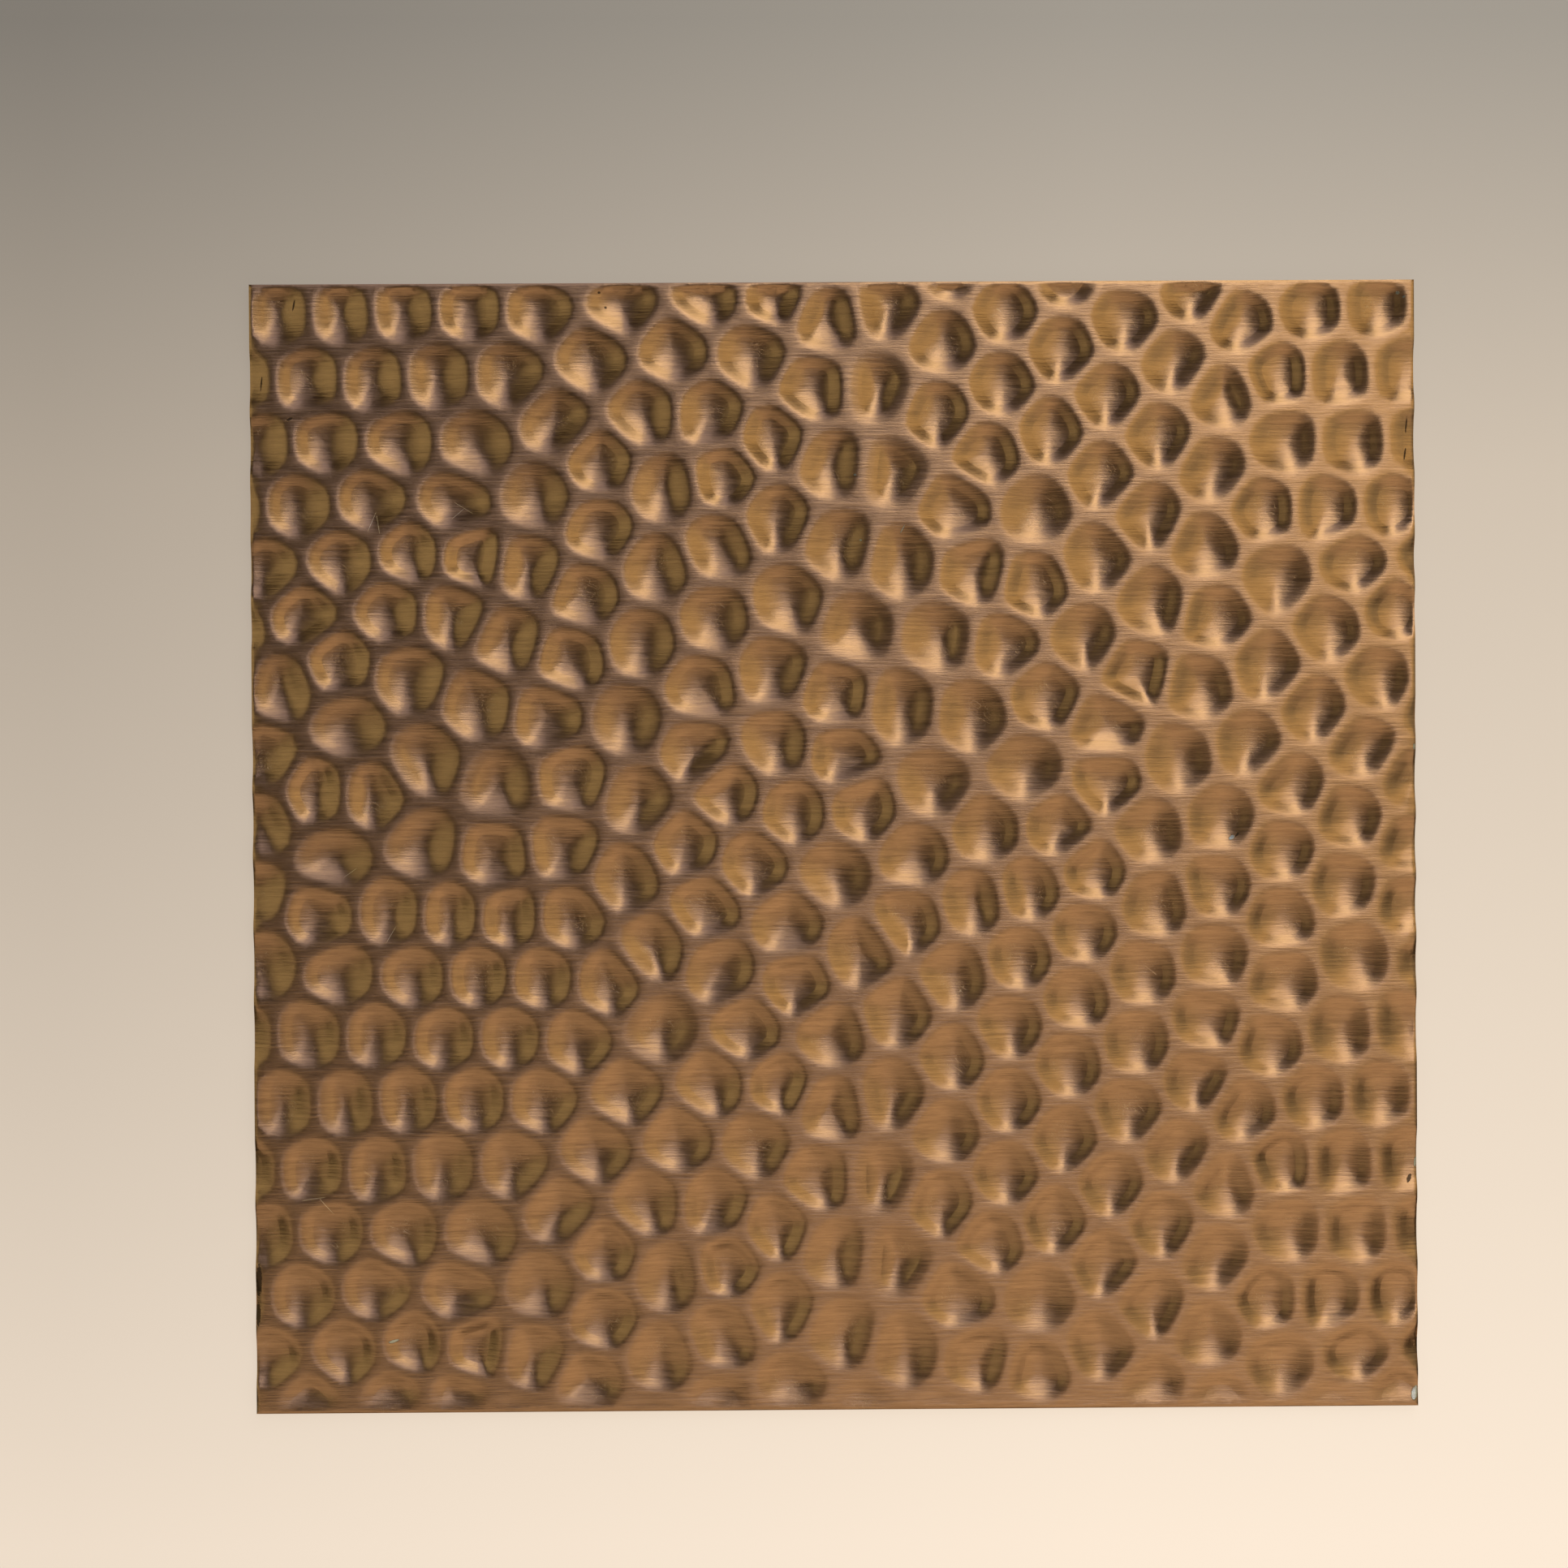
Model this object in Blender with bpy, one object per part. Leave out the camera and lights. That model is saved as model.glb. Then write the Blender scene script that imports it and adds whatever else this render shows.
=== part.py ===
# Bronze coloured embossed stainless steel sheet, an irregular hammered honeycomb
import math
import bpy
import bmesh
from mathutils import Vector
from mathutils.geometry import delaunay_2d_cdt

MM = 0.001

# outline and section of the sheet
sheet_width = 150.0 * MM
sheet_length = 145.4 * MM
sheet_gauge = 0.8 * MM

# emboss: flat pockets pressed down from narrow ridges that stay at full height
emboss_depth = 0.9 * MM
wall_run = 2.1 * MM
least_pocket = 0.2
least_pitch = 4.0 * MM
junction_merge = 0.4 * MM

# the pattern fades out into the two flattened long edges
far_edge_fade = 1.5 * MM
near_edge_fade = 4.0 * MM

# one turn of the embossing roll along the sheet, and its face across the sheet
roll_repeat = 101.8 * MM
roll_face = 158.5 * MM
outside_run = 20.0 * MM
edge_snap = 0.15 * MM
same_point = 0.0001 * MM

# look of the coated and brushed surface
bronze_tone = (0.40, 0.235, 0.125, 1.0)
brushed_roughness = 0.30

# punch centres of one roll turn, read off the photo by eye in mm from the middle of the sheet,
# x to the right and y up the sheet, one list for each staggered row
punch_rows = [
    [(-79.5, 69.0), (-71.2, 68.9), (-63.3, 69.0), (-55.3, 69.5), (-46.8, 69.7), (-38.0, 69.5),
     (-27.2, 70.0), (-16.0, 71.2), (-7.4, 71.0), (-1.0, 68.0), (7.3, 69.7), (22.2, 69.0),
     (37.8, 67.5), (46.5, 71.4), (52.8, 67.3), (61.7, 68.9), (70.3, 69.2)],
    [(-76.5, 60.5), (-67.5, 60.5), (-59.2, 60.3), (-50.9, 60.8), (-41.8, 60.9), (-31.0, 63.0),
     (-20.6, 64.0), (-10.4, 63.5), (5.9, 59.0), (14.2, 65.0), (21.8, 59.3), (29.5, 63.8),
     (35.3, 58.0), (44.0, 62.2), (50.2, 57.8), (57.4, 60.7), (65.4, 60.8), (73.8, 61.2)],
    [(-74.2, 52.0), (-65.3, 52.4), (-56.0, 52.3), (-46.2, 52.2), (-35.8, 55.0), (-24.5, 56.0),
     (-15.9, 55.8), (-2.6, 59.0), (-7.8, 52.5), (7.8, 48.4), (13.5, 55.7), (19.8, 50.6),
     (28.0, 53.5), (34.7, 47.7), (41.9, 52.7), (49.0, 48.3), (58.3, 51.8), (67.2, 51.7),
     (75.8, 52.0)],
    [(-77.8, 44.0), (-69.0, 44.3), (-59.6, 45.0), (-49.0, 44.5), (-38.0, 45.2), (-30.2, 49.7),
     (-21.9, 46.3), (-14.0, 47.6), (-0.5, 49.3), (-7.5, 42.5), (15.6, 43.6), (26.2, 43.3),
     (40.5, 42.5), (55.4, 43.2), (63.8, 43.3), (72.3, 43.4)],
    [(-73.3, 36.0), (-63.5, 37.0), (-54.6, 38.0), (-46.8, 37.5), (-39.3, 36.3), (-30.3, 41.0),
     (-23.0, 36.0), (-15.0, 39.0), (0.5, 38.8), (8.7, 36.7), (18.0, 35.3), (34.0, 37.0),
     (25.8, 33.4), (48.0, 38.5), (57.2, 34.4), (67.3, 35.9), (77.0, 37.0)],
    [(-77.5, 28.5), (-68.5, 30.3), (-57.3, 30.7), (-49.2, 30.4), (-42.0, 26.8), (-32.2, 32.8),
     (-24.7, 26.4), (-15.6, 29.2), (-5.8, 31.8), (2.7, 28.3), (13.6, 27.0), (22.1, 25.8),
     (32.3, 26.6), (41.0, 31.2), (49.3, 29.2), (64.0, 28.0), (72.4, 30.2)],
    [(-71.3, 21.0), (-64.0, 24.0), (-55.0, 22.0), (-46.0, 18.5), (-37.0, 17.0), (-34.2, 24.4),
     (-26.8, 16.5), (-17.3, 20.8), (-8.1, 22.8), (0.2, 19.3), (8.5, 17.9), (17.7, 16.8),
     (27.1, 19.5), (38.8, 22.3), (47.3, 20.4), (55.8, 22.8), (62.0, 17.2), (70.5, 21.4),
     (79.0, 23.0)],
    [(-74.0, 12.0), (-62.6, 16.0), (-52.8, 11.5), (-43.3, 8.3), (-34.0, 9.0), (-18.0, 12.3),
     (-7.5, 13.2), (0.8, 11.8), (12.6, 7.8), (24.6, 9.8), (35.2, 15.3), (44.4, 11.0),
     (53.6, 12.8), (68.2, 12.3), (78.0, 17.0)],
    [(-74.3, 3.7), (-66.8, 7.3), (-59.8, 7.0), (-25.3, 6.0), (-14.0, 7.0), (-5.3, 4.5),
     (3.5, 4.8), (19.4, 2.0), (29.0, 2.3), (35.2, 8.0), (40.3, 1.8), (50.0, 3.3), (58.8, 7.6),
     (66.7, 3.4), (74.7, 8.0)],
    [(-75.5, -5.5), (-64.5, -1.0), (-53.2, 0.5), (-44.0, -1.0), (-35.0, 0.0), (-27.3, -3.9),
     (-19.3, 0.5), (-10.7, -2.3), (-0.2, -3.3), (10.2, -1.2), (17.8, -7.3), (25.0, -5.8),
     (33.3, -3.3), (41.2, -7.8), (49.6, -5.4), (57.6, -1.0), (65.5, -5.2), (74.5, 0.0)],
    [(-66.4, -8.7), (-57.3, -8.3), (-49.6, -8.7), (-42.3, -9.0), (-34.2, -9.0), (-16.8, -7.8),
     (-6.3, -9.9), (3.2, -13.9), (9.4, -9.7), (23.8, -14.5), (32.0, -11.3), (57.4, -9.5),
     (74.5, -8.0)],
    [(-74.0, -14.7), (-64.0, -16.0), (-54.3, -16.4), (-46.0, -16.3), (-38.0, -16.7),
     (-29.3, -17.3), (-23.7, -12.9), (-15.0, -15.8), (-5.2, -17.9), (8.0, -21.4), (15.2, -16.8),
     (31.0, -19.7), (22.5, -23.5), (39.5, -16.5), (49.0, -14.5), (57.8, -17.8), (67.1, -14.5),
     (77.0, -15.0)],
    [(-77.0, -24.0), (-67.7, -23.8), (-59.3, -24.0), (-50.5, -24.6), (-42.0, -24.5),
     (-33.7, -25.0), (-22.7, -23.4), (-11.5, -23.6), (-1.0, -24.4), (15.2, -27.5),
     (29.8, -28.2), (38.9, -25.6), (47.8, -22.8), (56.2, -26.0), (65.1, -24.2), (73.8, -23.5)],
]


def punches_over_sheet():
    """Repeat the roll turn until it covers the sheet and a run outside each edge."""
    reach_x = sheet_width / 2 + outside_run
    reach_y = sheet_length / 2 + outside_run
    turns_x = math.ceil(reach_x / roll_face)
    turns_y = math.ceil(reach_y / roll_repeat)
    placed = []
    for turn_y in range(-turns_y, turns_y + 1):
        for turn_x in range(-turns_x, turns_x + 1):
            shift = Vector((turn_x * roll_face, turn_y * roll_repeat))
            for row in punch_rows:
                for x, y in row:
                    centre = Vector((x * MM, y * MM)) + shift
                    if abs(centre.x) > reach_x or abs(centre.y) > reach_y:
                        continue
                    if all((centre - other).length > least_pitch for other in placed):
                        placed.append(centre)
    return placed


def circle_centre(a, b, c):
    """Centre of the circle through three punches, where three ridges meet."""
    ab = b - a
    ac = c - a
    twice_area = 2 * ab.cross(ac)
    ux = (ac.y * ab.length_squared - ab.y * ac.length_squared) / twice_area
    uy = (ab.x * ac.length_squared - ac.x * ab.length_squared) / twice_area
    return a + Vector((ux, uy))


def ridge_cells(punches):
    """Ridge junctions, the ridges between them, and the junctions round each punch."""
    triangles = delaunay_2d_cdt(punches, [], [], 0, same_point)[2]
    junctions = []
    beside = {}
    around = {}
    for corners in triangles:
        a, b, c = corners
        junctions.append(circle_centre(punches[a], punches[b], punches[c]))
        index = len(junctions) - 1
        for first, second in ((a, b), (b, c), (c, a)):
            beside.setdefault(frozenset((first, second)), []).append(index)
        for corner in corners:
            around.setdefault(corner, []).append((index, [n for n in corners if n != corner]))
    ridges = [tuple(pair) for pair in beside.values() if len(pair) == 2]
    outer = {n for pair, ends in beside.items() if len(ends) == 1 for n in pair}
    return junctions, ridges, {n: cell for n, cell in around.items() if n not in outer}


def pocket_ring(centre, cell, junctions, punches):
    """Corners of the pocket, a wall's run inside the ridges of its cell."""
    ring = []
    for index, neighbours in cell:
        half_pitch = min((punches[n] - centre).length / 2 for n in neighbours)
        share = max(least_pocket, 1 - wall_run / half_pitch)
        ring.append(centre + (junctions[index] - centre) * share)
    return sorted(ring, key=lambda p: math.atan2(p.y - centre.y, p.x - centre.x))


def edge_fade(y):
    """Share of the full depth left at a distance up the sheet."""
    share = 1.0
    for gap, run in ((sheet_length / 2 - y, far_edge_fade), (sheet_length / 2 + y, near_edge_fade)):
        t = min(1.0, max(0.0, gap / run))
        share *= t * t * (3 - 2 * t)
    return share


def pressed_face():
    """Upper face of the sheet as a mesh, ridges at zero height and pockets below."""
    punches = punches_over_sheet()
    junctions, ridges, cells = ridge_cells(punches)
    points = list(junctions)
    lines = list(ridges)
    for n, cell in cells.items():
        ring = pocket_ring(punches[n], cell, junctions, punches)
        first = len(points)
        points.extend(ring)
        lines.extend((first + k, first + (k + 1) % len(ring)) for k in range(len(ring)))
    flat, _, triangles, sources, _, _ = delaunay_2d_cdt(points, lines, [], 0, same_point)

    face = bmesh.new()
    for place, origin in zip(flat, sources):
        in_pocket = bool(origin) and min(origin) >= len(junctions)
        depth = emboss_depth * edge_fade(place.y) if in_pocket else 0.0
        face.verts.new((place.x, place.y, -depth))
    face.verts.ensure_lookup_table()
    for corners in triangles:
        face.faces.new([face.verts[k] for k in corners])
    return face


def trim_to_outline(face):
    """Shear the pressed face along the four edges of the sheet."""
    for axis, half in ((Vector((1, 0, 0)), sheet_width / 2), (Vector((0, 1, 0)), sheet_length / 2)):
        for side in (-1, 1):
            bmesh.ops.bisect_plane(
                face,
                geom=face.verts[:] + face.edges[:] + face.faces[:],
                dist=edge_snap,
                plane_co=axis * half * side,
                plane_no=axis * side,
                use_snap_center=True,
                clear_outer=True,
            )
    bmesh.ops.remove_doubles(face, verts=face.verts[:], dist=junction_merge)
    for vert in face.verts:
        if sheet_length / 2 - abs(vert.co.y) < same_point:
            vert.co.z = 0.0
    bmesh.ops.triangulate(face, faces=face.faces[:])


def thicken(face):
    """Give the face the gauge straight down, as the press stretches the walls."""
    for vert in face.verts:
        vert.co.z += sheet_gauge + emboss_depth
    bmesh.ops.recalc_face_normals(face, faces=face.faces[:])
    lower = bmesh.ops.extrude_face_region(face, geom=face.faces[:])
    moved = [item for item in lower["geom"] if isinstance(item, bmesh.types.BMVert)]
    bmesh.ops.translate(face, verts=moved, vec=(0, 0, -sheet_gauge))
    bmesh.ops.triangulate(face, faces=face.faces[:])
    bmesh.ops.recalc_face_normals(face, faces=face.faces[:])


def coated_steel():
    """Bronze coating over horizontal brushing on stainless steel."""
    material = bpy.data.materials.new("bronze_coated_brushed_stainless_steel")
    material.use_nodes = True
    surface = material.node_tree.nodes["Principled BSDF"]
    surface.inputs["Base Color"].default_value = bronze_tone
    surface.inputs["Metallic"].default_value = 1.0
    surface.inputs["Roughness"].default_value = brushed_roughness
    material.diffuse_color = bronze_tone
    return material


def build():
    for item in list(bpy.data.objects):
        bpy.data.objects.remove(item)
    face = pressed_face()
    trim_to_outline(face)
    thicken(face)
    mesh = bpy.data.meshes.new("embossed_sheet")
    face.to_mesh(mesh)
    face.free()
    mesh.materials.append(coated_steel())
    sheet = bpy.data.objects.new("embossed_sheet", mesh)
    collection = bpy.data.collections.new("embossed_stainless_steel_sheet")
    bpy.context.scene.collection.children.link(collection)
    collection.objects.link(sheet)


build()
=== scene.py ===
# Dresses the bronze coated, brushed and embossed stainless steel sheet.
# It lies face up, so the photo's up is +Y here and the camera looks down on it.
import math

import bmesh
import bpy
import numpy as np
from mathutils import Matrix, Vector
from mathutils.geometry import delaunay_2d_cdt


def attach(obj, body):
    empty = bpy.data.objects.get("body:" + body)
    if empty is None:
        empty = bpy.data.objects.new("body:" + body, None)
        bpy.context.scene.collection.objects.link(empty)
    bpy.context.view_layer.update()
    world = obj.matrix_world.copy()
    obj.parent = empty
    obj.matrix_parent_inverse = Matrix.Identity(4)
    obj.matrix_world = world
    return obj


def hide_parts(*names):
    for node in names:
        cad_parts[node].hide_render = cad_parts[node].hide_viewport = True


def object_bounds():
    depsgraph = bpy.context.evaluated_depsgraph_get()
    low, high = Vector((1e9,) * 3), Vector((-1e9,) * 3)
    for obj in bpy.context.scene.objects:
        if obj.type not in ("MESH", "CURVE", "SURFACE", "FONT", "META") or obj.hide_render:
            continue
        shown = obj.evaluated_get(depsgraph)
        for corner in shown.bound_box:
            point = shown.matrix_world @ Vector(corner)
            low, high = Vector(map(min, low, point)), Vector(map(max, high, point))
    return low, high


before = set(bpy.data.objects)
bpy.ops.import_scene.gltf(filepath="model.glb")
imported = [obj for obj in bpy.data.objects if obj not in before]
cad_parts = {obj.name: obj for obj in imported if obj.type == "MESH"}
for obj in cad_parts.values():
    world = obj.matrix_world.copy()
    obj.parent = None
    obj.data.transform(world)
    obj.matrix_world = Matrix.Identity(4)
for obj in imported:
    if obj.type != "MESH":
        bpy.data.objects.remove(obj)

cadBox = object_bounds()
mm = 0.001
print("frame loaded, CAD box", [round(v / mm, 2) for corner in cadBox for v in corner], "mm")


# ---- small helpers

def hexColour(text):
    # sRGB hex to linear, as every colour in this file is written
    parts = [int(text[n:n + 2], 16) / 255 for n in (0, 2, 4)]
    linear = [c / 12.92 if c <= 0.04045 else ((c + 0.055) / 1.055) ** 2.4 for c in parts]
    return (*linear, 1.0)


def addNode(tree, kind, inputs=None, **settings):
    # one node with its settings, and its inputs as values or links
    node = tree.nodes.new(kind)
    for name, value in settings.items():
        setattr(node, name, value)
    for key, value in (inputs or {}).items():
        if isinstance(value, bpy.types.NodeSocket):
            tree.links.new(value, node.inputs[key])
        else:
            node.inputs[key].default_value = value
    return node


def maths(tree, operation, *values, clamp=False):
    # result socket of one Math node
    inputs = {n: value for n, value in enumerate(values)}
    return addNode(tree, "ShaderNodeMath", inputs, operation=operation, use_clamp=clamp).outputs[0]


# ---- the blank: a flat sheet already cut into the cells of the hammered honeycomb

pattern = {
    "repeatUp": 101.8,      # mm, one turn of the embossing roll
    "repeatAcross": 158.5,  # mm, face of the roll
    "leastPitch": 4.0,      # mm, closer punches are one punch
    "runOut": 14.0,         # mm of pattern kept outside the outline before it is trimmed
    "spokePitch": 1.65,     # mm between mesh points along a ridge
    "ridgeMerge": 0.35,     # mm, junctions closer than this are one
    "cornerSoftness": 0.5,  # mm, how far the corners of a cell are rounded as it goes down
    "wallAcross": 2.1,      # mm from a ridge to the crease round the pocket, across the sheet
    "wallUp": 1.8,          # the same up the sheet, the way it ran through the roll
    "leastPocket": 0.25,    # share of a narrow cell that stays pocket
    "pocketRoundness": 5,   # 2 makes the crease an oval, more makes it follow the cell
    "spokeSamples": 161,    # points along each spoke at which its wall is worked out
    "mergeWithin": 0.02,    # mm, points closer than this after the trim are one
    "snapWithin": 0.03,     # mm, points this near to the outline are put back onto it
    "weldWithin": 0.001,    # mm, what the same point's copies may differ by
}

# punch centres of one roll turn in mm from the middle of the sheet, x right and y up,
# the same ones that the solid is pressed with, one list for each staggered row
punchRows = [
    [(-79.5, 69.0), (-71.2, 68.9), (-63.3, 69.0), (-55.3, 69.5), (-46.8, 69.7), (-38.0, 69.5),
     (-27.2, 70.0), (-16.0, 71.2), (-7.4, 71.0), (-1.0, 68.0), (7.3, 69.7), (22.2, 69.0),
     (37.8, 67.5), (46.5, 71.4), (52.8, 67.3), (61.7, 68.9), (70.3, 69.2)],
    [(-76.5, 60.5), (-67.5, 60.5), (-59.2, 60.3), (-50.9, 60.8), (-41.8, 60.9), (-31.0, 63.0),
     (-20.6, 64.0), (-10.4, 63.5), (5.9, 59.0), (14.2, 65.0), (21.8, 59.3), (29.5, 63.8),
     (35.3, 58.0), (44.0, 62.2), (50.2, 57.8), (57.4, 60.7), (65.4, 60.8), (73.8, 61.2)],
    [(-74.2, 52.0), (-65.3, 52.4), (-56.0, 52.3), (-46.2, 52.2), (-35.8, 55.0), (-24.5, 56.0),
     (-15.9, 55.8), (-2.6, 59.0), (-7.8, 52.5), (7.8, 48.4), (13.5, 55.7), (19.8, 50.6),
     (28.0, 53.5), (34.7, 47.7), (41.9, 52.7), (49.0, 48.3), (58.3, 51.8), (67.2, 51.7),
     (75.8, 52.0)],
    [(-77.8, 44.0), (-69.0, 44.3), (-59.6, 45.0), (-49.0, 44.5), (-38.0, 45.2), (-30.2, 49.7),
     (-21.9, 46.3), (-14.0, 47.6), (-0.5, 49.3), (-7.5, 42.5), (15.6, 43.6), (26.2, 43.3),
     (40.5, 42.5), (55.4, 43.2), (63.8, 43.3), (72.3, 43.4)],
    [(-73.3, 36.0), (-63.5, 37.0), (-54.6, 38.0), (-46.8, 37.5), (-39.3, 36.3), (-30.3, 41.0),
     (-23.0, 36.0), (-15.0, 39.0), (0.5, 38.8), (8.7, 36.7), (18.0, 35.3), (34.0, 37.0),
     (25.8, 33.4), (48.0, 38.5), (57.2, 34.4), (67.3, 35.9), (77.0, 37.0)],
    [(-77.5, 28.5), (-68.5, 30.3), (-57.3, 30.7), (-49.2, 30.4), (-42.0, 26.8), (-32.2, 32.8),
     (-24.7, 26.4), (-15.6, 29.2), (-5.8, 31.8), (2.7, 28.3), (13.6, 27.0), (22.1, 25.8),
     (32.3, 26.6), (41.0, 31.2), (49.3, 29.2), (64.0, 28.0), (72.4, 30.2)],
    [(-71.3, 21.0), (-64.0, 24.0), (-55.0, 22.0), (-46.0, 18.5), (-37.0, 17.0), (-34.2, 24.4),
     (-26.8, 16.5), (-17.3, 20.8), (-8.1, 22.8), (0.2, 19.3), (8.5, 17.9), (17.7, 16.8),
     (27.1, 19.5), (38.8, 22.3), (47.3, 20.4), (55.8, 22.8), (62.0, 17.2), (70.5, 21.4),
     (79.0, 23.0)],
    [(-74.0, 12.0), (-62.6, 16.0), (-52.8, 11.5), (-43.3, 8.3), (-34.0, 9.0), (-18.0, 12.3),
     (-7.5, 13.2), (0.8, 11.8), (12.6, 7.8), (24.6, 9.8), (35.2, 15.3), (44.4, 11.0),
     (53.6, 12.8), (68.2, 12.3), (78.0, 17.0)],
    [(-74.3, 3.7), (-66.8, 7.3), (-59.8, 7.0), (-25.3, 6.0), (-14.0, 7.0), (-5.3, 4.5),
     (3.5, 4.8), (19.4, 2.0), (29.0, 2.3), (35.2, 8.0), (40.3, 1.8), (50.0, 3.3), (58.8, 7.6),
     (66.7, 3.4), (74.7, 8.0)],
    [(-75.5, -5.5), (-64.5, -1.0), (-53.2, 0.5), (-44.0, -1.0), (-35.0, 0.0), (-27.3, -3.9),
     (-19.3, 0.5), (-10.7, -2.3), (-0.2, -3.3), (10.2, -1.2), (17.8, -7.3), (25.0, -5.8),
     (33.3, -3.3), (41.2, -7.8), (49.6, -5.4), (57.6, -1.0), (65.5, -5.2), (74.5, 0.0)],
    [(-66.4, -8.7), (-57.3, -8.3), (-49.6, -8.7), (-42.3, -9.0), (-34.2, -9.0), (-16.8, -7.8),
     (-6.3, -9.9), (3.2, -13.9), (9.4, -9.7), (23.8, -14.5), (32.0, -11.3), (57.4, -9.5),
     (74.5, -8.0)],
    [(-74.0, -14.7), (-64.0, -16.0), (-54.3, -16.4), (-46.0, -16.3), (-38.0, -16.7),
     (-29.3, -17.3), (-23.7, -12.9), (-15.0, -15.8), (-5.2, -17.9), (8.0, -21.4), (15.2, -16.8),
     (31.0, -19.7), (22.5, -23.5), (39.5, -16.5), (49.0, -14.5), (57.8, -17.8), (67.1, -14.5),
     (77.0, -15.0)],
    [(-77.0, -24.0), (-67.7, -23.8), (-59.3, -24.0), (-50.5, -24.6), (-42.0, -24.5),
     (-33.7, -25.0), (-22.7, -23.4), (-11.5, -23.6), (-1.0, -24.4), (15.2, -27.5),
     (29.8, -28.2), (38.9, -25.6), (47.8, -22.8), (56.2, -26.0), (65.1, -24.2), (73.8, -23.5)],
]

sheet = {
    "width": (cadBox[1][0] - cadBox[0][0]) / mm,
    "length": (cadBox[1][1] - cadBox[0][1]) / mm,
    "gauge": 0.8,
    "embossDepth": 0.9,
    "punchCrown": 10.0,     # radius of the crowned punch tops, which the pockets take
    "crestShare": 0.6,      # share of the wall's run over which the ridge is rounded
    "farEdgeFade": 1.5,     # run over which the pattern dies out towards the top edge
    "nearEdgeFade": 4.0,    # the same at the bottom edge
    "arrisRun": 0.40,       # width of the band that the shear rolled over along each edge
    "arrisScore": 0.3,      # share of that band at which it has a second row of points
    "arrisDrop": 0.12,      # how far that band falls
    "unevenness": 0.02,     # spread of the pocket's depth from one dimple to the next
    "unevenSeed": 7,
    "sharpAngle": 40,       # degrees, edges that turn more than this stay sharp
}


def spreadPunches():
    # whole roll turns, up to a run outside the outline
    reach = (sheet["width"] / 2 + pattern["runOut"], sheet["length"] / 2 + pattern["runOut"])
    placed = []
    for turnUp in (-1, 0, 1):
        for turnAcross in (-1, 0, 1):
            for row in punchRows:
                for x, y in row:
                    x2 = x + turnAcross * pattern["repeatAcross"]
                    y2 = y + turnUp * pattern["repeatUp"]
                    if abs(x2) > reach[0] or abs(y2) > reach[1]:
                        continue
                    if all(math.hypot(x2 - a, y2 - b) > pattern["leastPitch"] for a, b in placed):
                        placed.append((x2, y2))
    return np.array(placed)


def ridgeNetwork(punches):
    # junctions of the ridges, and the junctions and neighbours round each punch
    faces = delaunay_2d_cdt([Vector(p) for p in punches], [], [], 0, 1e-6)[2]
    junctions = []
    around = {}
    uses = {}
    for corners in faces:
        a, b, c = (punches[n] for n in corners)
        ab, ac = b - a, c - a
        twice = 2 * (ab[0] * ac[1] - ab[1] * ac[0])
        centre = a + np.array((ac[1] * (ab @ ab) - ab[1] * (ac @ ac),
                               ab[0] * (ac @ ac) - ac[0] * (ab @ ab))) / twice
        # junctions that nearly touch become one, so no ridge is shorter than the merge
        near = [n for n, j in enumerate(junctions)
                if abs(j[0] - centre[0]) + abs(j[1] - centre[1]) < pattern["ridgeMerge"]]
        if near:
            index = near[0]
        else:
            index = len(junctions)
            junctions.append(centre)
        for n, corner in enumerate(corners):
            around.setdefault(corner, {}).setdefault("junctions", set()).add(index)
            around[corner].setdefault("neighbours", set()).update(set(corners) - {corner})
            pair = frozenset((corner, corners[(n + 1) % 3]))
            uses[pair] = uses.get(pair, 0) + 1
    # a pair in one triangle only is on the rim, where the cells stay open
    rim = {n for pair, count in uses.items() if count == 1 for n in pair}
    return junctions, {n: cell for n, cell in around.items() if n not in rim}


def creaseRadius(directions, towards, halfPitch):
    # how far the pocket reaches from its punch in each direction: a wall's run short of the
    # ridges, rounded into an oval
    run = pattern["wallAcross"] * towards[:, 0] ** 2 + pattern["wallUp"] * towards[:, 1] ** 2
    reach = np.maximum(halfPitch - run, pattern["leastPocket"] * halfPitch)
    facing = np.maximum(directions @ towards.T, 0) / reach
    power = pattern["pocketRoundness"]
    return (facing ** power).sum(axis=1) ** (-1 / power), np.median(reach)


# rings of the mesh: shares of the way from ridge to crease, and from crease to punch
wallRings = (0.12, 0.26, 0.42, 0.68, 0.97)
pocketRings = (0.05, 0.5)


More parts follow.
